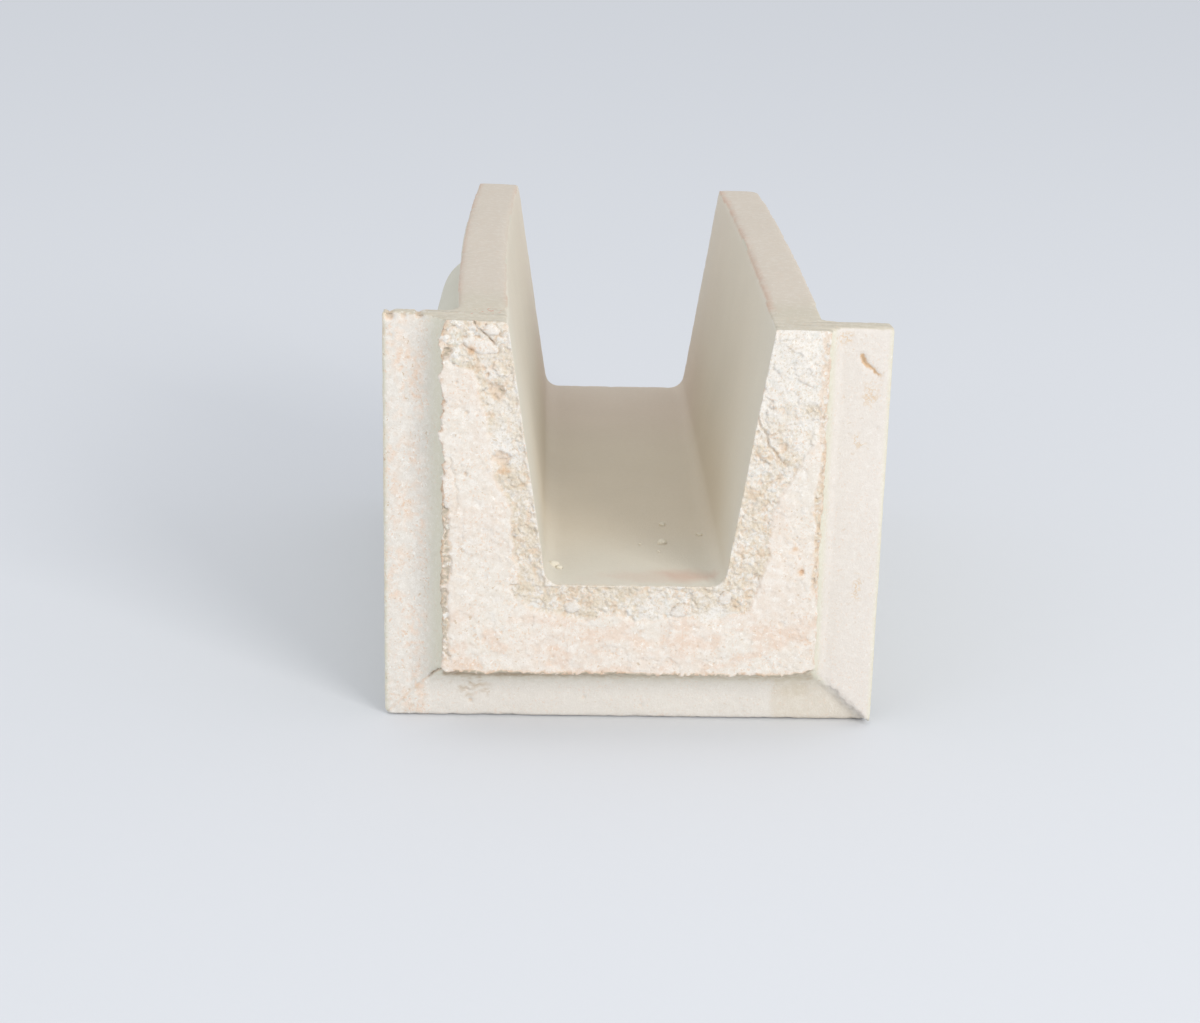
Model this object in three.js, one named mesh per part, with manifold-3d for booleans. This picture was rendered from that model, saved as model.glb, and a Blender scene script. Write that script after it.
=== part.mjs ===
// Cast concrete roof-water spout, a plain gargoyle: an open trough with a moulded collar near its pour end.
// Millimetres. +X is to the right seen from the pour end, +Y runs along the trough to its mouth, +Z is up.
// The pour face stands at y = 0 and the underside at z = 0, and the collar is centred on x = 0.

import * as THREE from 'three';
import { mergeVertices } from 'three/addons/utils/BufferGeometryUtils.js';
import Module from 'manifold-3d';

const wasm = await Module();
wasm.setup();

// Whole piece
const length = 315;
const height = 168.8; // at the middle of its width
const topFall = 2.5; // the top leans down by this from the collar's left edge to its right edge

// Pour block, the rough U-shaped end that stands in front of the collar
const blockWidth = 150;
const blockShift = -0.5;
const blockLift = 24.8; // its underside above the bed

// Collar on the left, right and lower sides
const collarWidth = 200;
const hollowWidth = 17; // the quarter hollow between the block and the lip, across
const hollowDepth = 14; // and front to back
const lipSlope = 0.8; // the lip's face runs back by this to its outer edge
const lipThickness = 5.7;
const lipRound = 2;
const cornerRound = 2.5;
const spillFace = 9.8; // the face of the cement that filled the right hollow, behind the pour face

// Trough
const troughShift = 1.1;
const troughFloor = 62.9; // above the bed
const floorWidth = 70.8;
const mouthWidth = 103; // across the top
const floorRound = 7;

// Walls behind the collar
const wallThickness = 20.6;
const leftBow = 2.8; // how far the wall tops stand out at mid-length
const rightBow = 1.3;
const crown = 1.5; // and how far they rise there

// Thick lower body
const bodyWidth = 182;
const shoulderHeight = 133;
const shoulderRound = 24;
const bodyCorner = 5;
const rearFillet = 7.5; // hollow between the collar's back and the walls
const endRound = 2; // all round the mouth's end

// Numbers of steps in round stretches and along the length
const arcSteps = 12;
const cornerSteps = 4;
const lengthSteps = 12;
const overshoot = 6; // how far a cut runs past what it cuts

const lipFront = hollowDepth + lipSlope;
const collarBack = lipFront + lipThickness;
const blockLeft = blockShift - blockWidth / 2;
const blockRight = blockShift + blockWidth / 2;
const leftReach = blockLeft + collarWidth / 2; // how far the collar stands out from the block
const rightReach = collarWidth / 2 - blockRight;
const troughDepth = height - troughFloor;

// Share of the mid-length bow and crown at a place along the trough
function swell(y) {
	const share = (y - collarBack) / (length - collarBack);
	return Math.sin(Math.PI * Math.min(1, Math.max(0, share)));
}

function topAt(x, y) {
	return height - topFall * x / collarWidth + crown * swell(y);
}

// Outward shift of a wall at a height, nothing at the trough's floor
function bowAt(side, y, z) {
	const bow = side < 0 ? leftBow : rightBow;
	return side * bow * swell(y) * Math.max(0, z - troughFloor) / troughDepth;
}

// Points of an arc about (x, z), angles in degrees
function arc(x, z, radius, from, to, steps) {
	const points = [];
	for (let i = 0; i <= steps; i++) {
		const angle = THREE.MathUtils.degToRad(from + (to - from) * i / steps);
		points.push([x + radius * Math.cos(angle), z + radius * Math.sin(angle)]);
	}
	return points;
}

// Closed solid through sections of equal point counts, each { y, points } and counter-clockwise from the front
function loft(sections) {
	const count = sections[0].points.length;
	const positions = [];
	for (const { y, points } of sections) {
		for (const [x, z] of points) {
			positions.push(x, y, z);
		}
	}
	const index = [];
	for (let k = 0; k < sections.length - 1; k++) {
		for (let i = 0; i < count; i++) {
			const a = k * count + i;
			const b = k * count + (i + 1) % count;
			index.push(a, a + count, b + count, a, b + count, b);
		}
	}
	const last = (sections.length - 1) * count;
	for (const [end, start] of [[sections[0], 0], [sections.at(-1), last]]) {
		const outline = end.points.map(([x, z]) => new THREE.Vector2(x, z));
		for (const [a, b, c] of THREE.ShapeUtils.triangulateShape(outline, [])) {
			index.push(start + a, start + (start ? c : b), start + (start ? b : c));
		}
	}
	const geometry = new THREE.BufferGeometry();
	geometry.setAttribute('position', new THREE.Float32BufferAttribute(positions, 3));
	geometry.setIndex(index);
	const merged = mergeVertices(geometry);
	return new wasm.Manifold(new wasm.Mesh({
		numProp: 3,
		vertProperties: merged.attributes.position.array,
		triVerts: Uint32Array.from(merged.index.array),
	}));
}

// Outline of the block or the collar, standing out from the block by a share of the collar's reach
function collarOutline(reach, y) {
	const left = blockLeft - leftReach * reach;
	const right = blockRight + rightReach * reach;
	const bottom = blockLift * (1 - reach);
	const round = cornerRound;
	return [
		...arc(left + round, bottom + round, round, 180, 270, cornerSteps),
		...arc(right - round, bottom + round, round, 270, 360, cornerSteps),
		[right, topAt(right, y)],
		[left, topAt(left, y)],
	];
}

// Block and collar: a quarter hollow runs out to the lip, and the back is flat
function makeCollar() {
	const sections = [];
	const add = (y, reach) => sections.push({ y, points: collarOutline(reach, y) });
	const hollowReach = hollowWidth / blockLift;
	const roundReach = lipRound / blockLift;
	for (let i = 0; i <= arcSteps; i++) {
		const angle = Math.PI / 2 * i / arcSteps;
		add(hollowDepth * Math.sin(angle), hollowReach * (1 - Math.cos(angle)));
	}
	for (let i = 0; i <= cornerSteps; i++) {
		const angle = Math.PI / 2 * i / cornerSteps;
		add(lipFront + lipRound * (1 - Math.cos(angle)), 1 - roundReach * (1 - Math.sin(angle)));
	}
	for (let i = 0; i <= cornerSteps; i++) {
		const angle = Math.PI / 2 * i / cornerSteps;
		add(collarBack - lipRound * (1 - Math.sin(angle)), 1 - roundReach * (1 - Math.cos(angle)));
	}
	return loft(sections);
}

// Cement that ran over the right side and left its hollow filled, down to the mitre
function makeSpill() {
	const inner = blockRight - overshoot;
	const outer = collarWidth / 2 + overshoot;
	const slope = blockLift / rightReach;
	const top = height + overshoot;
	const wedge = [[inner, blockLift + overshoot * slope], [outer, -overshoot * slope], [outer, top], [inner, top]];
	const cement = loft([spillFace, collarBack].map((y) => ({ y, points: wedge })));
	const roundReach = lipRound / blockLift;
	const sections = [{ y: spillFace - lipRound, points: collarOutline(1 - 2 * roundReach, 0) }];
	for (let i = 0; i <= cornerSteps; i++) {
		const angle = Math.PI / 2 * i / cornerSteps;
		const reach = 1 - roundReach * (1 - Math.sin(angle));
		sections.push({ y: spillFace + lipRound * (1 - Math.cos(angle)), points: collarOutline(reach, 0) });
	}
	sections.push({ y: lipFront + lipRound, points: collarOutline(1, 0) });
	return cement.intersect(loft(sections));
}

// One half of the body's outline, from the bed up to the wall top
function bodySide(side, y, spread, inset) {
	const half = bodyWidth / 2 + spread - inset;
	const corner = bodyCorner - inset;
	const wall = mouthWidth / 2 + wallThickness + spread - inset;
	const meet = THREE.MathUtils.radToDeg(Math.acos((wall - half + shoulderRound) / shoulderRound));
	const place = (x, z) => [side * x + troughShift + bowAt(side, y, z), z];
	const shoulder = shoulderHeight - shoulderRound;
	const level = topAt(side * wall + troughShift, y) - inset;
	return [
		...arc(half - corner, corner + inset, corner, 270, 360, cornerSteps),
		...arc(half - shoulderRound, shoulder - inset, shoulderRound, 0, meet, arcSteps),
		[wall, level],
	].map(([x, z]) => place(x, z));
}

function bodyOutline(y, spread, inset) {
	const right = bodySide(1, y, spread, inset);
	const left = bodySide(-1, y, spread, inset);
	return [...right, ...left.reverse()];
}

// Walls and lower body, from inside the collar to the mouth's rounded end
function makeBody() {
	const start = (lipFront + collarBack) / 2;
	const sections = [];
	for (let i = 0; i <= lengthSteps; i++) {
		const y = start + (length - endRound - start) * i / lengthSteps;
		sections.push({ y, points: bodyOutline(y, 0, 0) });
	}
	for (let i = 1; i <= cornerSteps; i++) {
		const angle = Math.PI / 2 * i / cornerSteps;
		const y = length - endRound * (1 - Math.sin(angle));
		sections.push({ y, points: bodyOutline(y, 0, endRound * (1 - Math.cos(angle))) });
	}
	return loft(sections);
}

// Hollow fillet that spreads from the walls onto the collar's back
function makeRearFillet() {
	const sections = [{ y: lipFront + lipRound, points: bodyOutline(0, rearFillet, 0) }];
	for (let i = 0; i <= arcSteps; i++) {
		const angle = Math.PI / 2 * i / arcSteps;
		const y = collarBack + rearFillet * (1 - Math.cos(angle));
		sections.push({ y, points: bodyOutline(y, rearFillet * (1 - Math.sin(angle)), 0) });
	}
	return loft(sections);
}

// The space of the trough, flared at the mouth's end
function makeTrough() {
	const slope = (mouthWidth - floorWidth) / 2 / troughDepth;
	const lean = THREE.MathUtils.radToDeg(Math.atan(slope));
	const rise = height + crown + topFall + overshoot;
	const tangent = floorRound * Math.tan(THREE.MathUtils.degToRad((90 - lean) / 2));
	const outline = (y, flare) => {
		const floor = troughFloor - flare;
		const half = floorWidth / 2 + flare;
		const upper = half + (rise - floor) * slope;
		const side = [
			...arc(half - tangent, floor + floorRound, floorRound, 270, 360 - lean, arcSteps),
			[upper, rise],
		];
		const turn = (sign) => side.map(([x, z]) => [sign * x + troughShift + bowAt(sign, y, z), z]);
		return [...turn(1), ...turn(-1).reverse()];
	};
	const sections = [{ y: -overshoot, points: outline(0, 0) }];
	for (let i = 0; i <= lengthSteps; i++) {
		const y = (length - endRound) * i / lengthSteps;
		sections.push({ y, points: outline(y, 0) });
	}
	for (let i = 1; i <= cornerSteps; i++) {
		const angle = Math.PI / 2 * i / cornerSteps;
		const y = length - endRound * (1 - Math.sin(angle));
		sections.push({ y, points: outline(y, endRound * (1 - Math.cos(angle))) });
	}
	sections.push({ y: length + overshoot, points: outline(length, endRound) });
	return loft(sections);
}

// One cast piece, joined from its forms and then hollowed
function makeGargoyle() {
	const cast = makeBody().add(makeCollar()).add(makeSpill()).add(makeRearFillet());
	const mesh = cast.subtract(makeTrough()).getMesh();
	const geometry = new THREE.BufferGeometry();
	geometry.setAttribute('position', new THREE.BufferAttribute(mesh.vertProperties, 3));
	geometry.setIndex(new THREE.BufferAttribute(mesh.triVerts, 1));
	geometry.computeVertexNormals();
	return geometry;
}

const concrete = new THREE.MeshStandardMaterial({ color: 0xe0dac9, roughness: 0.92, metalness: 0, flatShading: true });

const gargoyle = new THREE.Mesh(makeGargoyle(), concrete);
gargoyle.name = 'gargoyle';
gargoyle.position.y = -length / 2;

const part = new THREE.Group();
part.add(gargoyle);

export default part;
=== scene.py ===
import math

import bmesh
import bpy
from mathutils import Matrix, Vector, noise


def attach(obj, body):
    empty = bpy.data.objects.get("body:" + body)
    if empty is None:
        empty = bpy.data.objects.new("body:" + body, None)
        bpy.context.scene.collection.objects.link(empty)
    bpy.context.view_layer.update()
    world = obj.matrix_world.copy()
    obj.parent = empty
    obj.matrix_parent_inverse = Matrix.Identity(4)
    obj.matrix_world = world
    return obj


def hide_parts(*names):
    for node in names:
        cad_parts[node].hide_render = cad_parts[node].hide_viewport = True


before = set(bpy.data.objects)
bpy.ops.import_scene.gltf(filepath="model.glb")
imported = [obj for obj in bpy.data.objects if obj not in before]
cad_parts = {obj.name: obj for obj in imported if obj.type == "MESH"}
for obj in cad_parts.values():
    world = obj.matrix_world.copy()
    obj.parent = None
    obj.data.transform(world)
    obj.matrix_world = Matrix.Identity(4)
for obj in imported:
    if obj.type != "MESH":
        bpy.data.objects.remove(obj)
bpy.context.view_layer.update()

# Measures are in millimetres: x from the collar's middle, y from the pour face and z from the bed.
MM = 0.001
LENGTH = 315
TO_ROW = Matrix.Translation((0, -LENGTH / 2 * MM, 0)) @ Matrix.Scale(MM, 4)

# The CAD's own places that the relief follows
TROUGH_MIDDLE = 1.1
TROUGH_FLOOR = 62.9
FLOOR_HALF = 35.4
WALL_SLOPE = 0.152
BLOCK_LEFT = -75.5
BLOCK_RIGHT = 74.5
BLOCK_BOTTOM = 24.8
COLLAR_HALF = 100
COLLAR_BACK = 20.5
TOP_FALL = 0.0125
TOP_MIDDLE = 168.8

# Mesh
GRID = 1.6  # halved as far back as the collar, and once more on the pour face
FACE_BACK = 1
SOFT_ROUNDS = 2
FACE_REACH = 5  # how far behind the pour face its relief moves the sides
MOST_TRIANGLES = 195000

# How far bare aggregate reaches from the trough's edge, by height, on the left, on the right and below the trough
LEFT_BAND = ((62, 10), (95, 10), (110, 14), (150, 15), (157, 40))
RIGHT_BAND = ((62, 14), (95, 14), (112, 19), (128, 26), (140, 45))
LOWER_BAND = 13.5
EDGE_BAND = 3  # and from the block's outer edges, between these heights on the left and on the right
LEFT_EDGE = (30, 108)
RIGHT_EDGE = (62, 166)

# Stones on the pour face: x, z, half width, half height, turn in degrees, lift
STONES = (
    (-56.9, 166.2, 3.0, 2.0, -8, 1.2),
    (-61.0, 160.0, 7.0, 2.8, -16, 1.0),
    (-74.2, 113.0, 2.4, 2.5, 0, 0.9),
    (-73.0, 102.5, 2.8, 8.6, 4, 0.9),
    (-24.0, 53.4, 3.2, 2.4, 10, 0.6),
    (19.4, 52.4, 3.6, 2.2, 20, 0.6),
    (37.0, 58.0, 3.0, 2.2, 35, 0.6),
)
# Holes in the pour face: x, z, radius, depth
HOLES = (
    (-59.5, 150.7, 0.9, 1.0),
    (-58.3, 148.4, 1.0, 1.3),
    (-70.2, 145.4, 0.8, 0.7),
    (-66.3, 133.5, 1.0, 0.7),
    (-66.6, 108.5, 1.0, 1.0),
    (-52.3, 114.6, 3.6, 1.2),
    (-54.5, 142.0, 3.4, 1.2),
    (-73.0, 157.5, 1.8, 1.3),
    (48.5, 144.0, 1.5, 1.2),
    (57.5, 121.0, 2.0, 0.9),
    (67.2, 69.9, 0.9, 0.9),
    (60.2, 47.6, 1.6, 0.6),
    (-44.3, 48.5, 0.9, 0.5),
)
# Cracks and grooves: half width, depth, and points (x, z). The first runs across the left arm's top.
FACE_GROOVES = (
    (0.4, 1.1, ((-63.8, 169.6), (-62.6, 167.4), (-60.0, 165.2), (-57.6, 163.2), (-55.4, 160.6))),
    (0.6, 1.2, ((47.0, 133.0), (48.5, 129.0), (50.8, 126.2), (52.0, 120.5))),
    (0.5, 0.9, ((52.5, 121.0), (54.8, 118.9), (56.5, 116.0), (59.5, 113.0))),
)
COLLAR_GROOVES = (
    (0.8, 1.4, ((87.5, 156.2), (88.3, 154.0), (90.0, 152.6))),
    (0.5, 1.1, ((90.0, 152.6), (92.4, 150.8), (93.0, 149.6), (95.2, 148.4))),
    (0.5, 1.8, ((-76.0, 24.5), (-79.0, 22.0), (-82.0, 18.6))),
    (0.6, 0.6, ((-82.0, 18.6), (-90.0, 10.2), (-98.5, 1.8))),
)
# Small pits in the collar's front: x, z, radius, depth
COLLAR_PITS = (
    (-64.8, 7.4, 1.0, 0.9),
    (-66.0, 12.5, 0.7, 0.7),
    (-28.0, 20.0, 0.8, 0.7),
    (-18.4, 9.3, 1.1, 0.6),
    (5.1, 6.1, 0.9, 0.5),
    (84.2, 124.6, 0.8, 0.5),
    (-96.0, 160.5, 0.9, 0.6),
    (-92.5, 148.0, 0.8, 0.5),
    (-97.0, 168.6, 2.2, 1.4),
    (-91.5, 168.4, 1.4, 1.0),
    (-85.5, 168.8, 1.8, 1.0),
)
# Frayed patches on the right strip: x, z, half width, half height
FRAYED = ((92.0, 140.0, 4.5, 8.0), (87.5, 121.5, 4.5, 4.0), (91.0, 59.0, 3.0, 8.0), (80.5, 163.5, 5.0, 3.0))
# The lower right mitre from end to end, x and z, and the slope that the colours beside it follow
MITRE = ((BLOCK_RIGHT, BLOCK_BOTTOM), (COLLAR_HALF, 0))
MITRE_SLOPE = 0.97
# The left wall's top: its width, and how far it bows outwards at mid-length
WALL_TOP = 21
LEFT_BOW = 2.8
# Rusty spots on the pour face: x, z, half width, half height
RUST_SPOTS = ((67.2, 69.8, 1.8, 2.4), (64.2, 79.5, 1.0, 1.0), (-50.5, 109.8, 4.5, 1.8), (-64.5, 158.0, 2.5, 3.0))
# Where small red flecks lie on the block's top: x, y, half width, half length
RED_FLECKS = (-60.5, 19.0, 11.0, 8.0)
# Crumbs of mortar on the trough's floor: x, y, radius
CRUMBS = (
    (-31.4, 23.0, 2.1),
    (-29.2, 21.2, 1.2),
    (-32.6, 26.0, 1.1),
    (14.3, 54.8, 1.7),
    (15.5, 79.0, 1.4),
    (5.0, 52.5, 0.5),
    (12.4, 43.5, 0.6),
    (30.6, 66.0, 1.2),
)

# Marks of a place without any, and those of them that the material reads
NO_MARKS = {"rough": 0, "pit_and_shade": 0, "tone": 0.5, "white": 0, "grit": 0, "red": 0, "frayed": 0}
KEPT_MARKS = ("rough", "pit_and_shade", "grit", "red", "frayed")

# Colours, in linear light
TROUGH_FRONT = Vector((0.700, 0.660, 0.570))
TROUGH_FLOOR_TINT = Vector((0.690, 0.622, 0.510))
TROUGH_WALL_TINT = Vector((0.715, 0.668, 0.578))
TROUGH_MOUTH = Vector((0.680, 0.595, 0.500))
TROUGH_STAIN = Vector((0.62, 0.42, 0.33))
CRUMB_TINT = Vector((0.76, 0.71, 0.60))
TOP_FRONT = Vector((0.605, 0.553, 0.452))
TOP_WALLS = Vector((0.645, 0.575, 0.490))
TOP_RUST = Vector((0.64, 0.42, 0.31))
COLLAR_PALE = Vector((0.720, 0.670, 0.618))
COLLAR_HOLLOW_SHADE = Vector((0.700, 0.675, 0.565))
COLLAR_WHITE = Vector((0.735, 0.695, 0.640))
COLLAR_PEACH = Vector((0.800, 0.620, 0.490))
COLLAR_RUST = Vector((0.62, 0.41, 0.22))
COLLAR_RIM = Vector((0.66, 0.65, 0.48))
# The next three paint shade under the block: a soft shade, dirty specks mixed with more of that shade, and a thin dark
# shadow line.
COLLAR_SHADE = Vector((0.55, 0.47, 0.36))
COLLAR_DIRT_AND_SHADE = Vector((0.50, 0.39, 0.27))
COLLAR_SHADOW_LINE = Vector((0.36, 0.27, 0.18))
WATER_STAIN = Vector((0.60, 0.52, 0.39))
SLURRY_CREAM = Vector((0.745, 0.688, 0.615))
SLURRY_PINK = Vector((0.745, 0.660, 0.580))
SLURRY_WHITE = Vector((0.81, 0.77, 0.72))
SLURRY_PEACH = Vector((0.735, 0.555, 0.435))
STONE_BROWN = Vector((0.690, 0.610, 0.495))
STONE_WHITE = Vector((0.795, 0.765, 0.722))
STONE_GREY = Vector((0.66, 0.66, 0.62))
PEBBLE_GREY = Vector((0.65, 0.63, 0.55))
PEBBLE_WHITE = Vector((0.82, 0.80, 0.76))
FACE_RUST = Vector((0.68, 0.44, 0.26))
FACE_EDGE = Vector((0.58, 0.40, 0.27))
# The plain sides' colour is darkened and greened as painted shade.
SIDES_TINT_AND_SHADE = Vector((0.640, 0.620, 0.530))


def clamp(value):
    return min(1.0, max(0.0, value))


def smooth(low, high, value):
    """0 below low and 1 above high, with a soft turn at both."""
    share = clamp((value - low) / (high - low))
    return share * share * (3 - 2 * share)


def ramp(value, points):
    """The height of a bent line through points at a value."""
    if value <= points[0][0]:
        return points[0][1]
    for (x0, y0), (x1, y1) in zip(points, points[1:]):
        if value <= x1:
            return y0 + (y1 - y0) * (value - x0) / (x1 - x0)
    return points[-1][1]


def fbm(p, size, seed, octaves=3):
    """Smooth noise, mostly between -1 and 1, with its largest forms about the given size."""
    return noise.fractal(p / size + Vector((seed, -seed, 0.5 * seed)), 1.0, 2.0, octaves)


def top_at(x):
    return TOP_MIDDLE - TOP_FALL * x


def from_trough(x, z):
    """How far a place is from the trough's edge, on the concrete side."""
    side = (abs(x - TROUGH_MIDDLE) - FLOOR_HALF - (z - TROUGH_FLOOR) * WALL_SLOPE) * 0.989
    below = TROUGH_FLOOR - z
    if side > 0 and below > 0:
        return math.hypot(side, below)
    return max(side, below)


def modified(mesh, kind, **settings):
    """The mesh with one modifier applied. The mesh passed in is used up."""
    thing = bpy.data.objects.new(kind, mesh)
    modifier = thing.modifiers.new(kind, kind)
    for name, value in settings.items():
        setattr(modifier, name, value)
    bpy.context.scene.collection.objects.link(thing)
    shaped = thing.evaluated_get(bpy.context.evaluated_depsgraph_get())
    result = bpy.data.meshes.new_from_object(shaped)
    bpy.data.objects.remove(thing)
    bpy.data.meshes.remove(mesh)
    return result


def cut_finer(bm, far):
    """Halves the grid wherever it lies nearer the front than far."""
    edges = {edge for face in bm.faces if face.calc_center_median().y < far for edge in face.edges}
    bmesh.ops.subdivide_edges(bm, edges=list(edges), cuts=1, use_grid_fill=True)


def soften(bm):
    """Takes out the steps that the grid left."""
    for _ in range(SOFT_ROUNDS):
        bmesh.ops.smooth_vert(bm, verts=bm.verts, factor=0.5, use_axis_x=True, use_axis_y=True, use_axis_z=True)
    bm.normal_update()


def even_grid():
    """The CAD solid's surface as an even grid, in millimetres, finer on the collar's front and the pour face."""
    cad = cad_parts["gargoyle"]
    mesh = modified(cad.data.copy(), "REMESH", mode="VOXEL", voxel_size=GRID * MM)
    bm = bmesh.new()
    bm.from_mesh(mesh)
    bmesh.ops.transform(bm, matrix=TO_ROW.inverted(), verts=bm.verts)
    cut_finer(bm, COLLAR_BACK)
    cut_finer(bm, FACE_BACK)
    bmesh.ops.transform(bm, matrix=TO_ROW, verts=bm.verts)
    bm.to_mesh(mesh)
    bm.clear()
    bm.from_mesh(modified(mesh, "SHRINKWRAP", target=cad))
    bmesh.ops.transform(bm, matrix=TO_ROW.inverted(), verts=bm.verts)
    soften(bm)
    return bm


def rough_at(p):
    """0 where cement slurry covers the pour face and 1 where its aggregate is bare."""
    wander = 2.2 * fbm(p, 13, 3.1) + 0.8 * fbm(p, 4, 8.3, 2)
    inner = from_trough(p.x, p.z)
    if p.z < TROUGH_FLOOR:
        reach = LOWER_BAND
    else:
        reach = ramp(p.z, LEFT_BAND if p.x < 0 else RIGHT_BAND)
    outer = min(p.x - BLOCK_LEFT, BLOCK_RIGHT - p.x)
    low, high = LEFT_EDGE if p.x < 0 else RIGHT_EDGE
    tall = smooth(low - 4, low + 4, p.z) * smooth(high + 5, high - 5, p.z)
    near_trough = smooth(-1.0, 1.0, reach - inner + wander)
    near_edge = smooth(-0.8, 0.8, EDGE_BAND - outer + 0.8 * wander) * tall
    return max(near_trough, near_edge)


def chance(spot, seed):
    """A number from 0 to 1 that belongs to a place."""
    return 0.5 + 0.5 * noise.cell(spot * 5.3 + Vector((seed, seed, seed)))


def grain_at(p, size, seed):
    """Where a place lies on its grain, from 0 at the gap round it to 1 on top, a tone and the tilt of its facet."""
    warp = Vector((fbm(p, size, seed, 4), 0, fbm(p, size, seed + 5, 4))) * 0.5
    place = Vector((p.x, 0, p.z)) / size + warp + Vector((seed, 0, seed))
    near, spots = noise.voronoi(place)
    tilt = Vector((chance(spots[0], 1.3) - 0.5, 0, chance(spots[0], 2.6) - 0.5)).dot(place - spots[0])
    return smooth(0.0, 0.5, near[1] - near[0]), chance(spots[0], 0), tilt


def specks(p, size, radius, share, seed):
    """1 in the middle of scattered small round spots. share is how many of the places hold one."""
    near, spots = noise.voronoi(Vector((p.x, 0, p.z)) / size + Vector((seed, 0, 0)))
    return smooth(radius, 0.4 * radius, near[0] * size) if chance(spots[0], seed) < share else 0


def spot(p, x, z, wide, high):
    """1 in the middle of a soft round patch and 0 outside it, with a wavy edge. z may be a place along the trough."""
    out = math.hypot((p[0] - x) / wide, (p[1] - z) / high)
    return smooth(1.1, 0.3, out + 0.35 * fbm(Vector((p[0], 0, p[1])), 6, x))


def stone_at(p):
    """Lift, share and surrounding gap of a named stone at a place of the pour face."""
    for x, z, wide, high, turn, lift in STONES:
        angle = math.radians(turn)
        dx, dz = p.x - x, p.z - z
        across = (dx * math.cos(angle) + dz * math.sin(angle)) / wide
        along = (-dx * math.sin(angle) + dz * math.cos(angle)) / high
        out = math.hypot(across, along) + 0.25 * fbm(p, 3, x)
        if out < 1.25:
            gap = smooth(0.85, 1.05, out) * smooth(1.3, 1.15, out)
            return lift * smooth(1.1, 0.6, out), smooth(1.1, 0.95, out), gap
    return 0, 0, 0


def hole_at(p, holes):
    """Depth of the named holes at a place."""
    depth = 0
    for x, z, radius, most in holes:
        out = math.hypot(p.x - x, p.z - z) / radius
        if out < 1.6:
            depth = max(depth, most * smooth(1.15, 0.5, out + 0.3 * fbm(p, 2, x)))
    return depth


def groove_at(p, grooves):
    """Depth of the named grooves at a place."""
    depth = 0
    for half, most, points in grooves:
        for (x0, z0), (x1, z1) in zip(points, points[1:]):
            dx, dz = x1 - x0, z1 - z0
            share = clamp(((p.x - x0) * dx + (p.z - z0) * dz) / (dx * dx + dz * dz))
            out = math.hypot(p.x - x0 - share * dx, p.z - z0 - share * dz) / half
            if out < 2:
                depth = max(depth, most * smooth(1.5, 0.2, out + 0.6 * fbm(p, 1.6, 3.3)))
    return depth


def flake_at(p, size, seed):
    """1 on a flake of slurry and 0 beside it, and how near its edge is."""
    level = fbm(p, size, seed, 5)
    return smooth(-0.03, 0.03, level), smooth(0.06, 0.0, abs(level))


def face_relief(p):
    """Depth of the pour face's surface behind its plane, with its marks."""
    rough = rough_at(p)

    # Bare aggregate: facets, grains and crumbs, and smoother white lumps, most of all on the upper right arm
    white = smooth(0.1, 0.6, fbm(p, 16, 6.4) + (0.6 if p.x > 0 and p.z > 128 else 0))
    _, facet_tone, tilt = grain_at(p, 8, 1.7)
    grain, tone, _ = grain_at(p, 3.4, 6.2)
    crumb, crumb_tone, _ = grain_at(p, 1.7, 3.8)
    crumbly = abs(fbm(p, 3, 2.2, 6))
    grains = (1 - 0.75 * white) * (0.9 - 0.55 * grain - 0.35 * crumb + 0.5 * crumbly)
    stones = 0.3 * facet_tone + 1.2 * tilt + grains + 0.3 * crumbly + 0.6 * white * (0.5 + fbm(p, 9, 3.4, 5))
    tone = 0.35 * facet_tone + 0.35 * tone + 0.3 * crumb_tone

    # Cement slurry, in flakes with small pocks
    wide_flake, wide_edge = flake_at(p, 13, 5.5)
    small_flake, small_edge = flake_at(p, 6, 9.5)
    pocks = max(specks(p, 4.2, 0.7, 0.4, 2.6), specks(p, 2.1, 0.45, 0.3, 8.1))
    slurry = 0.3 + 0.25 * wide_flake + 0.12 * small_flake + 0.14 * fbm(p, 5, 4.4, 5) + 0.5 * pocks
    depth = slurry + (stones + 0.4 - slurry) * rough

    # Stones, holes and grooves at places of their own, and the trough's smoother rim
    lift, stone, moat = stone_at(p)
    depth += (0.7 - depth) * 0.75 * stone - lift * 0.4 + 0.35 * moat
    hole = hole_at(p, HOLES)
    groove = groove_at(p, FACE_GROOVES)
    rim = smooth(-0.4, 1.4, from_trough(p.x, p.z) + 1.2 * fbm(p, 4, 2.9))
    depth = max(0.05, depth) * (0.2 + 0.8 * rim) + hole + groove

    # How dark a place is, as shade painted into its recesses: between bare grains, along the block's edges and in the
    # slurry's pocks and flake edges
    between = (1 - grain) ** 3
    deep = between * smooth(0.0, 0.6, fbm(p, 5, 4.1))
    bare = rough * (0.5 * deep + 0.2 * (1 - crumb) * smooth(0.1, 0.5, crumbly)) * (1 - stone) * (1 - 0.7 * white) * rim
    share = 0.45 if p.x > 0 or p.z > LEFT_EDGE[1] else 0.75
    side = share * rough * smooth(4.5, 2.5, min(p.x - BLOCK_LEFT, BLOCK_RIGHT - p.x) + fbm(p, 4, 7.5))
    bottom = smooth(1.8, 0.6, p.z - BLOCK_BOTTOM)
    edge = max(side, bottom) * max(between, 0.9 * smooth(0.05, 0.4, fbm(p, 2.5, 4.9, 4))) * (1 - stone)
    thin = (1 - rough) * max(0.35 * pocks, 0.2 * wide_edge, 0.1 * small_edge) * smooth(-0.3, 0.3, fbm(p, 9, 1.9))
    pit_and_shade = clamp(max(bare, edge) + 0.1 * moat + 0.3 * hole + 0.15 * groove + thin)
    if stone > 0.5:
        tone = 0.8 if p.z < TROUGH_FLOOR else 0.7
    return depth, {**NO_MARKS, "rough": rough * (1 - 0.3 * stone), "pit_and_shade": pit_and_shade, "tone": tone, "white": white, "grit": 1}


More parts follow.
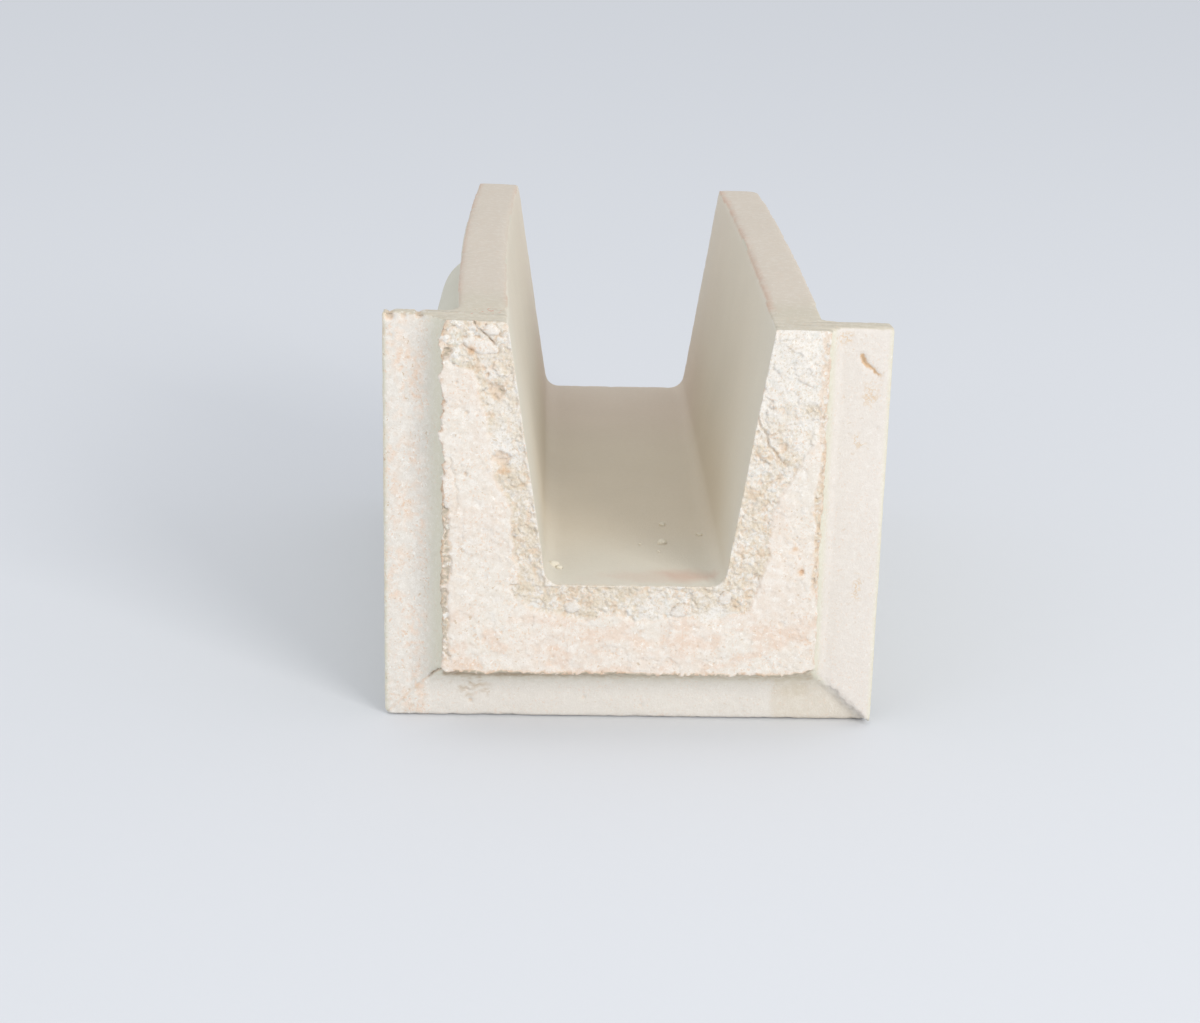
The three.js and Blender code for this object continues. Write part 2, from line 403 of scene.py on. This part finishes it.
def edge_shift(p):
    """How the pour block's ragged outer edges, its worn lower right corner and the broken mitre move a place."""
    back = 1 - smooth(0, 7, p.y)
    left = 1 - smooth(0, 6, abs(p.x - BLOCK_LEFT))
    right = 1 - smooth(0, 5, abs(p.x - BLOCK_RIGHT))
    below = 1 - smooth(0, 5, abs(p.z - BLOCK_BOTTOM))
    out = fbm(p, 7, 7.1, 5) + 0.5 * abs(fbm(p, 2.5, 2.7, 3))
    lobes = 1.2 + 1.1 * smooth(95, 110, p.z)
    worn = 2.2 * smooth(58, 74, p.x)
    dx = dz = 0
    if p.z > BLOCK_BOTTOM - 1:
        dx = right * (0.9 * out - 0.5) - left * (lobes * out + 0.1)
    if BLOCK_LEFT - 2 < p.x < BLOCK_RIGHT + 2:
        dz = below * (worn - 0.9 * fbm(p, 5, 9.1, 4))
    shift = Vector((dx, 0, dz)) * back
    (x0, z0), (x1, z1) = MITRE
    if x0 + 1 < p.x < x1 - 1.5 and p.y < COLLAR_BACK - 4:
        slope = (z1 - z0) / (x1 - x0)
        across = p.z - z0 - slope * (p.x - x0)
        near = (1 - smooth(0, 5, abs(across))) * smooth(x1 - 2, x1 - 7, p.x)
        shift.z += 1.1 * fbm(p, 3, 4.7, 5) * near
        shift.y -= 1.3 * near * smooth(1, -1, across) * smooth(9, 13, p.y)
    return shift


def frayed_at(p):
    """1 where the right strip's skin has come off in small flakes."""
    return max(spot((p.x, p.z), *place) for place in FRAYED) if p.x > BLOCK_RIGHT else 0


def collar_relief(p):
    """Depth of the marks on the collar's front and its top: shallow scars, frayed skin, pocks, grooves and pits."""
    depth = 0.35 * max(0, fbm(p, 4.5, 5.2, 4) - 0.35) + 0.06 * fbm(p, 2, 3.8)
    depth += 0.4 * frayed_at(p) * abs(fbm(p, 2.5, 6.8))
    depth += 0.5 * specks(p, 9, 0.8, 0.3, 5.5) + 0.35 * specks(p, 4, 0.5, 0.2, 1.5)
    return depth + groove_at(p, COLLAR_GROOVES) + hole_at(p, COLLAR_PITS)


def plain_relief(p, bulge):
    """Depth of the smooth cast surfaces behind their true form. bulge is above 0 on an outer edge, which is worn."""
    depth = 0.1 + 0.09 * fbm(p, 22, 1.3) + 0.03 * fbm(p, 6, 3.3)
    worn = clamp(bulge / 0.08)
    chipped = p.x < BLOCK_LEFT and p.z > top_at(p.x) - 4
    depth += worn * (0.12 + (1.2 if chipped else 0.6) * max(0, fbm(p, 5, 6.6, 4)))
    marks = frayed = 0
    if p.y < COLLAR_BACK + 1 and from_trough(p.x, p.z) > 1:
        marks = collar_relief(p)
        frayed = frayed_at(p)
        depth += marks
    on_top = p.z > top_at(p.x) - 1
    grit = 0.4 if on_top else 0.1
    if marks:
        grit = 1.2 if p.x < BLOCK_LEFT - 6 else 0.5
    red = spot((p.x, p.y), *RED_FLECKS) if on_top else 0
    # The collar's marks also darken it, as painted shade in their hollows.
    return max(0, depth), {**NO_MARKS, "pit_and_shade": clamp(0.4 * marks), "grit": grit, "red": red, "frayed": frayed}


def bulge_at(v):
    """How far a vertex stands out from the middle of its neighbours."""
    around = [edge.other_vert(v).co for edge in v.link_edges]
    middle = sum(around, Vector()) / len(around)
    return (v.co - middle).dot(v.normal)


def move_of(v):
    """Where the relief moves a vertex, and its marks."""
    p = v.co.copy()
    reach = 1 - clamp(p.y / FACE_REACH)
    depth, marks = plain_relief(p, bulge_at(v))
    move = -v.normal * depth * (1 - reach)
    if reach:
        depth, face_marks = face_relief(p)
        move += Vector((0, depth * reach, 0))
        front = smooth(2.5, 0.3, p.y)
        marks = {name: value + (face_marks[name] - value) * front for name, value in marks.items()}
    return move + edge_shift(p), marks


def add_crumbs(bm):
    """Crumbs of mortar that stuck to the trough's floor."""
    for x, y, radius in CRUMBS:
        place = Matrix.Translation((x, y, TROUGH_FLOOR + 0.25 * radius)) @ Matrix.Diagonal((1.15, 1, 0.8, 1))
        made = bmesh.ops.create_icosphere(bm, subdivisions=3, radius=radius, matrix=place)
        for v in made["verts"]:
            v.co += (v.co - place.translation) * 0.35 * fbm(v.co, radius * 1.2, x, 2)


def make_piece():
    """The concrete piece, with its relief in the mesh and its marks as attributes."""
    bm = even_grid()
    layers = {name: bm.verts.layers.float.new(name) for name in KEPT_MARKS}
    tint = bm.verts.layers.float_color.new("tint")
    moves = [move_of(v) for v in bm.verts]
    for v, (_, marks) in zip(bm.verts, moves):
        v[tint] = (*tint_at(v.co, v.normal, marks), 1)
        for name, layer in layers.items():
            v[layer] = marks[name]
    for v, (move, _) in zip(bm.verts, moves):
        v.co += move
    first = len(bm.verts)
    add_crumbs(bm)
    bm.verts.ensure_lookup_table()
    for v in bm.verts[first:]:
        v[tint] = (*CRUMB_TINT, 1)
    bmesh.ops.transform(bm, matrix=TO_ROW, verts=bm.verts)
    for face in bm.faces:
        face.smooth = True
    mesh = bpy.data.meshes.new("relief")
    bm.to_mesh(mesh)
    bm.free()
    ratio = min(1, MOST_TRIANGLES / sum(len(face.vertices) - 2 for face in mesh.polygons))
    piece = bpy.data.objects.new("cast_concrete", modified(mesh, "DECIMATE", ratio=ratio))
    bpy.context.scene.collection.objects.link(piece)
    return piece


def trough_tint(p):
    """Greenish cream near the front, brownish further in, with a red-brown stain on the floor."""
    far = smooth(5, 90, p.y + 14 * fbm(p, 40, 2.3))
    wall = smooth(TROUGH_FLOOR + 6, TROUGH_FLOOR + 50, p.z)
    tint = TROUGH_FRONT.lerp(TROUGH_FLOOR_TINT.lerp(TROUGH_WALL_TINT, wall), far)
    tint = tint.lerp(TROUGH_MOUTH, smooth(180, 280, p.y) * (1 - 0.7 * wall))
    stain = max(spot((p.x, p.y), 21, 14, 14, 9), 0.4 * spot((p.x, p.y), 6, 12, 26, 9))
    return tint.lerp(TROUGH_STAIN, 0.65 * stain if p.z < TROUGH_FLOOR + 3 else 0)


def top_tint(p):
    """Brownish trowelled top, pinker along the walls, with rusty lines on three of their edges."""
    streak = fbm(Vector((p.x / 25, p.y / 1.4, 0)), 1, 3.6)
    tint = TOP_FRONT * (1 + 0.2 * streak * smooth(26, 18, p.y))
    tint = tint.lerp(TOP_WALLS, smooth(25, 70, p.y + 10 * fbm(p, 15, 7.3)))
    inner = from_trough(p.x, p.z)
    edge = inner if p.x > 0 else min(inner + 1, WALL_TOP + LEFT_BOW * math.sin(math.pi * p.y / LENGTH) - inner)
    rust = smooth(4.5, 0.3, edge) * smooth(-0.9, 0.4, fbm(p, 12, 5.9, 5)) * smooth(20, 45, p.y)
    return tint.lerp(TOP_RUST, 0.7 * rust)


def collar_tint(p):
    """Pale on the right, with greenish painted shade in the hollows beside the block, a peach left lip, dirty specks,
    painted shade and a painted shadow line under the block, rust in the grooves and a water stain at the lower right."""
    # The greener, darker colour next to the block, in the hollows and in the right strip's corner, is painted shade.
    if p.x > BLOCK_RIGHT and p.z > (COLLAR_HALF - p.x) * MITRE_SLOPE:
        tint = COLLAR_HOLLOW_SHADE.lerp(COLLAR_PALE, smooth(BLOCK_RIGHT + 0.5, BLOCK_RIGHT + 4, p.x))
    else:
        tint = COLLAR_HOLLOW_SHADE.lerp(COLLAR_WHITE, smooth(7, 14, p.y))
    if p.x > BLOCK_RIGHT:
        tint = tint.lerp(COLLAR_RUST, smooth(0.1, 0.9, groove_at(p, COLLAR_GROOVES)))
    if p.x < BLOCK_LEFT - 6:
        speckle = smooth(-0.1, 0.3, fbm(p, 2.2, 4.8, 5)) * smooth(-0.5, 0.3, fbm(p, 20, 6.1))
        tint = tint.lerp(COLLAR_PEACH, 0.8 * speckle * smooth(-81, -85, p.x))
    # Painted shade in the hollow just below the block's bottom edge, darker on the left.
    under = smooth(7, 3.2, BLOCK_BOTTOM - p.z) if BLOCK_LEFT < p.x < BLOCK_RIGHT and p.z < BLOCK_BOTTOM else 0
    tint = tint.lerp(COLLAR_SHADE, under * (0.45 + 0.25 * smooth(0, -60, p.x)))
    # Dirty specks at the lower left, plus more painted shade under the block.
    dirt_and_shade = max(spot((p.x, p.z), -64, 16, 9, 9), 0.6 * spot((p.x, p.z), -90, 10, 9, 9), 0.7 * under)
    tint = tint.lerp(COLLAR_DIRT_AND_SHADE, 0.8 * dirt_and_shade * smooth(0.08, 0.3, fbm(p, 1.8, 7.7, 5)))
    # A thin dark brown painted shadow line right under the block's edge, strongest on the left.
    shadow_line = smooth(4.9, 3.7, BLOCK_BOTTOM - p.z + 0.8 * fbm(p, 5, 3.7)) * smooth(20, -50, p.x + 30 * fbm(p, 20, 5.1))
    tint = tint.lerp(COLLAR_SHADOW_LINE, 0.7 * shadow_line if under else 0)
    stain = smooth(58, 60, p.x + 2 * fbm(p, 8, 2.1))
    stain *= smooth(BLOCK_BOTTOM, BLOCK_BOTTOM - 5, p.z + (p.x - 75) * MITRE_SLOPE)
    stain *= 0.6 + 0.4 * spot((p.x, p.z), 68, 14, 8, 5)
    tint = tint.lerp(WATER_STAIN, 0.6 * stain)
    rim = smooth(COLLAR_HALF - 2.5, COLLAR_HALF - 0.5, abs(p.x)) * 0.5
    return tint.lerp(COLLAR_RIM, rim)


def face_tint(p, marks):
    """Pinkish slurry with peach stains, cream, white and greyish aggregate, and brown outer edges."""
    pink = smooth(-0.4, 0.4, fbm(p, 26, 8.8))
    slurry = SLURRY_CREAM.lerp(SLURRY_PINK, pink)
    slurry = slurry.lerp(SLURRY_WHITE, 0.5 * smooth(0.1, 0.3, fbm(p, 3, 1.2, 6)))
    border = smooth(0.02, 0.4, marks["rough"]) * smooth(0.98, 0.6, marks["rough"])
    low = smooth(58, 44, p.z) * smooth(0.0, 0.3, fbm(Vector((p.x * 0.6, 0, p.z)), 9, 3.9, 6))
    slurry = slurry.lerp(SLURRY_PEACH, 0.5 * max(low, border if p.z < 110 else 0.4 * border))
    pale = max(0.9 * marks["white"], smooth(0.3, 0.8, marks["tone"]))
    stones = STONE_BROWN.lerp(STONE_WHITE, pale)
    grey = smooth(0.74, 0.8, marks["tone"]) * smooth(0.5, 0.1, marks["pit_and_shade"])
    stones = stones.lerp(STONE_GREY, 0.5 * grey)
    pebbles = PEBBLE_GREY.lerp(PEBBLE_WHITE, smooth(0.35, 0.55, marks["tone"]))
    stones = stones.lerp(pebbles, 0.8 * smooth(8, 6, p.x - BLOCK_LEFT))
    tint = slurry.lerp(stones, marks["rough"])
    rust = max(spot((p.x, p.z), *place) for place in RUST_SPOTS)
    tint = tint.lerp(FACE_RUST, 0.7 * rust)
    line = 0.6 * smooth(1.0, 0.2, abs(p.x - BLOCK_RIGHT + 0.3)) + smooth(1.2, 0.3, p.x - BLOCK_LEFT)
    line += smooth(1.9, 0.5, p.z - BLOCK_BOTTOM + 0.9 * fbm(p, 3, 6.9))
    return tint.lerp(FACE_EDGE, 0.85 * clamp(line) * smooth(-0.2, 0.15, fbm(p, 4, 2.5, 5)))


def tint_at(p, normal, marks):
    """The concrete's colour at a place, without its grain, with shade painted into the collar's hollows, under the
    block and on the plain sides.
    """
    mottle = 1 + 0.02 * fbm(p, 30, 1.9, 4)
    if p.y < 0.8:
        return face_tint(p, marks) * mottle
    if from_trough(p.x, p.z) < 3.5 and p.z < top_at(p.x) - 0.5:
        return trough_tint(p) * mottle
    if p.z > top_at(p.x) - 1.5 and normal.z > 0.5:
        return top_tint(p) * mottle
    if p.y < COLLAR_BACK:
        return collar_tint(p) * mottle
    return SIDES_TINT_AND_SHADE * mottle


class Nodes:
    """Short ways to add and join the nodes of one material."""

    def __init__(self, name):
        self.material = bpy.data.materials.new(name)
        self.material.use_nodes = True
        self.tree = self.material.node_tree
        self.shader = self.tree.nodes["Principled BSDF"]

    def add(self, kind, **settings):
        node = self.tree.nodes.new(kind)
        for key, value in settings.items():
            if hasattr(node, key):
                setattr(node, key, value)
            else:
                node.inputs[key].default_value = value
        return node

    def join(self, source, target):
        self.tree.links.new(source, target)

    def mark(self, name):
        return self.add("ShaderNodeAttribute", attribute_name=name).outputs["Fac"]

    def noise(self, size, detail=4, roughness=0.6):
        """Noise with its forms about a size in millimetres."""
        node = self.add("ShaderNodeTexNoise", Scale=1 / (size * MM), Detail=detail, Roughness=roughness)
        self.join(self.add("ShaderNodeTexCoord").outputs["Object"], node.inputs["Vector"])
        return node.outputs["Fac"]

    def between(self, value, low, high):
        """0 below low and 1 above high."""
        node = self.add("ShaderNodeMapRange", interpolation_type="SMOOTHSTEP")
        node.inputs["From Min"].default_value = low
        node.inputs["From Max"].default_value = high
        self.join(value, node.inputs["Value"])
        return node.outputs["Result"]

    def product(self, a, b):
        node = self.add("ShaderNodeMath", operation="MULTIPLY")
        for value, socket in ((a, node.inputs[0]), (b, node.inputs[1])):
            if isinstance(value, (int, float)):
                socket.default_value = value
            else:
                self.join(value, socket)
        return node.outputs[0]

    def spots(self, size, detail, low, high, where):
        """Spots of noise about a size in millimetres, as strong as a mark."""
        return self.product(self.between(self.noise(size, detail), low, high), where)

    def blend(self, share, a, b):
        """Colour a, turning to colour b by a share."""
        node = self.add("ShaderNodeMix", data_type="RGBA")
        self.join(share, node.inputs[0])
        for value, socket in ((a, node.inputs[6]), (b, node.inputs[7])):
            if isinstance(value, tuple):
                socket.default_value = (*value, 1)
            else:
                self.join(value, socket)
        return node.outputs[2]


def make_concrete():
    """Pale cast concrete: each place's tint, under layers of small spots that its marks bring out."""
    mat = Nodes("pale_concrete")
    grit, rough, pit_and_shade = mat.mark("grit"), mat.mark("rough"), mat.mark("pit_and_shade")
    patch = mat.spots(9, 4, 0.38, 0.60, grit)
    level = mat.noise(4, 6)
    flake_edge = mat.product(mat.between(level, 0.46, 0.49), mat.between(level, 0.54, 0.51))
    layers = (
        (mat.spots(2.5, 8, 0.48, 0.60, grit), 0.35, (0.86, 0.83, 0.78)),  # pale clouds
        (mat.spots(1.1, 5, 0.54, 0.66, patch), 0.6, (0.72, 0.50, 0.35)),  # rusty specks
        (mat.spots(1.7, 3, 0.64, 0.69, grit), 0.6, (0.90, 0.88, 0.84)),  # white flecks
        (mat.spots(2.1, 3, 0.66, 0.70, grit), 0.6, (0.56, 0.42, 0.28)),  # brown dots
        (mat.spots(1.8, 2, 0.62, 0.64, mat.mark("red")), 0.9, (0.60, 0.22, 0.15)),  # red flecks
        (mat.product(flake_edge, mat.mark("frayed")), 0.75, (0.66, 0.50, 0.34)),  # edges of flaked skin
        (mat.spots(0.6, 3, 0.40, 0.75, mat.between(grit, -0.4, 1.0)), 0.25, (0.52, 0.45, 0.35)),  # fine grain
        (mat.spots(1.0, 4, 0.50, 0.66, rough), 0.45, (0.56, 0.47, 0.33)),  # sand on bare aggregate
        # Pits: tan in shallow ones; the dark layer is painted shade in deep pits, gaps between grains and along the
        # block's edges.
        (mat.between(pit_and_shade, 0.03, 0.35), 0.4, (0.72, 0.52, 0.36)),  # shallow pits
        (mat.between(pit_and_shade, 0.3, 0.9), 0.85, (0.40, 0.36, 0.28)),  # deep pits
    )
    colour = mat.add("ShaderNodeAttribute", attribute_name="tint").outputs["Color"]
    for mask, share, tone in layers:
        colour = mat.blend(mat.product(mask, share), colour, tone)
    mat.join(colour, mat.shader.inputs["Base Color"])
    mat.shader.inputs["Roughness"].default_value = 0.9
    mat.shader.inputs["Specular IOR Level"].default_value = 0.3
    fine = mat.product(mat.noise(0.9, 6), 0.5)
    coarse = mat.product(mat.noise(1.6, 6), mat.product(grit, mat.between(rough, -0.8, 1.2)))
    height = mat.add("ShaderNodeMath", operation="ADD")
    mat.join(fine, height.inputs[0])
    mat.join(coarse, height.inputs[1])
    bump = mat.add("ShaderNodeBump", Strength=0.8, Distance=0.5 * MM)
    mat.join(height.outputs[0], bump.inputs["Height"])
    mat.join(bump.outputs["Normal"], mat.shader.inputs["Normal"])
    return mat.material


def make_floor():
    """A plain pale studio floor that fills the view."""
    mesh = bpy.data.meshes.new("studio_floor")
    wide, near, far = 6, -4, 14
    mesh.from_pydata([(-wide, near, 0), (wide, near, 0), (wide, far, 0), (-wide, far, 0)], [], [(0, 1, 2, 3)])
    floor = bpy.data.objects.new("studio_floor", mesh)
    bpy.context.scene.collection.objects.link(floor)
    mat = Nodes("floor_paper")
    mat.shader.inputs["Base Color"].default_value = (0.725, 0.742, 0.775, 1)
    mat.shader.inputs["Roughness"].default_value = 1
    mat.shader.inputs["Specular IOR Level"].default_value = 0
    mesh.materials.append(mat.material)


def make_light(name, place, size, power, colour):
    """A soft square light that faces the part."""
    data = bpy.data.lights.new(name, "AREA")
    data.size = size
    data.energy = power
    data.color = colour
    light = bpy.data.objects.new(name, data)
    light.location = place
    light.rotation_mode = "QUATERNION"
    middle = Vector((0, 0, 0.1))
    light.rotation_quaternion = (middle - light.location).to_track_quat("-Z", "Y")
    bpy.context.scene.collection.objects.link(light)


def make_studio():
    """Soft light from the front and the right, with much light from all round."""
    make_light("key", (1.7, -2.4, 1.3), 1.2, 44, (1.0, 0.98, 0.94))
    make_light("fill", (-2.2, -2.2, 0.8), 1.8, 9, (1.0, 0.99, 0.97))
    world = bpy.data.worlds.new("studio")
    world.use_nodes = True
    world.node_tree.nodes["Background"].inputs["Color"].default_value = (0.95, 0.97, 1.0, 1)
    world.node_tree.nodes["Background"].inputs["Strength"].default_value = 0.88
    bpy.context.scene.world = world
    bpy.context.scene.view_settings.view_transform = "Standard"


def make_camera():
    """The photo's camera, from a fit to the part's edges. Angles are in radians, and places in metres."""
    data = bpy.data.cameras.new("photo_view")
    data.sensor_width = 36
    data.lens = 67.5
    data.clip_end = 50
    camera = bpy.data.objects.new("photo_view", data)
    place = (-0.0372, -0.9985, 0.3665)
    yaw, pitch, roll = 0.028, 0.313, 0.023
    turn = Matrix.Rotation(-yaw, 4, "Z") @ Matrix.Rotation(math.pi / 2 - pitch, 4, "X") @ Matrix.Rotation(roll, 4, "Z")
    camera.matrix_world = Matrix.Translation(place) @ turn
    bpy.context.scene.collection.objects.link(camera)
    bpy.context.scene.camera = camera


make_camera()
make_studio()
make_floor()
piece = make_piece()
piece.data.materials.append(make_concrete())
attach(piece, "root")
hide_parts("gargoyle")
